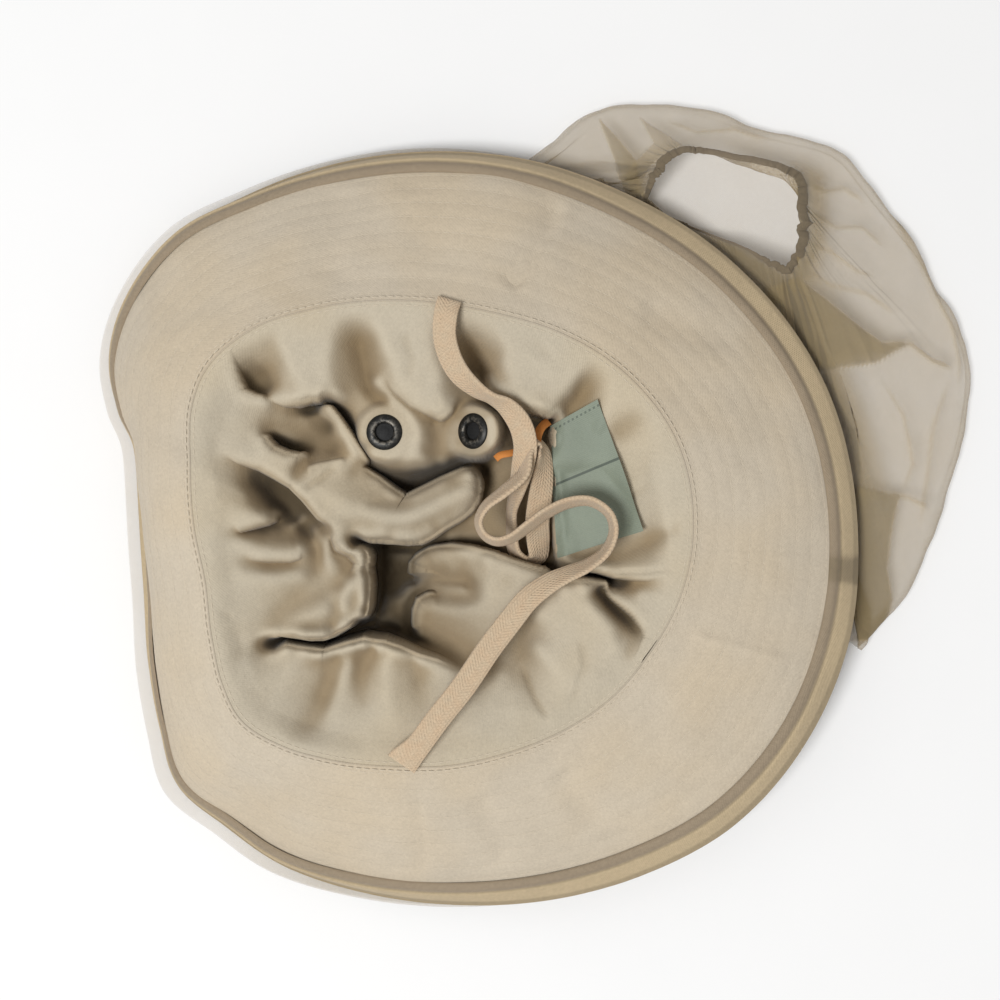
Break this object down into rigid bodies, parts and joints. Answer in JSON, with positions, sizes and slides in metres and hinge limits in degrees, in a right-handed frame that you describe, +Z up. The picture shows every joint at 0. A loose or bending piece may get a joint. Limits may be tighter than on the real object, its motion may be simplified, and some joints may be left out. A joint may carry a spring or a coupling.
{
  "type": "sun hat with insect net",
  "caption": "Cloth sun hat laid upside down, its crown crumpled in, with a stitched brim, a flat chin tape and a sheer net sleeve spread out beneath it.",
  "frame": {"origin": "on the resting surface, below the middle of the crown's opening", "axes": "+Z up from the resting surface, +X to the right and +Y away, as the hat lies with the net's open end at the upper right"},
  "size_m": [0.3512, 0.3262, 0.0582],
  "materials": {
    "twill": "stitched khaki cotton twill",
    "hem_net": "folded net, several layers thick",
    "net": "sheer insect net",
    "tape": "woven cotton tape",
    "label": "smooth woven label",
    "dark_metal": "blackened brass"
  },
  "bodies": {
    "root": {"brim": "twill", "crown_side_upper": "twill", "crown_side_lower": "twill", "crown_top": "twill", "hem_band": "hem_net", "net_skirt": "net", "net_lower": "net", "net_upper": "net", "neck_elastic": "hem_net", "eyelet_left": "dark_metal", "eyelet_right": "dark_metal", "vent_screen_left": "dark_metal", "vent_screen_right": "dark_metal", "chin_tape": "tape", "label": "label"}
  },
  "joints": []
}
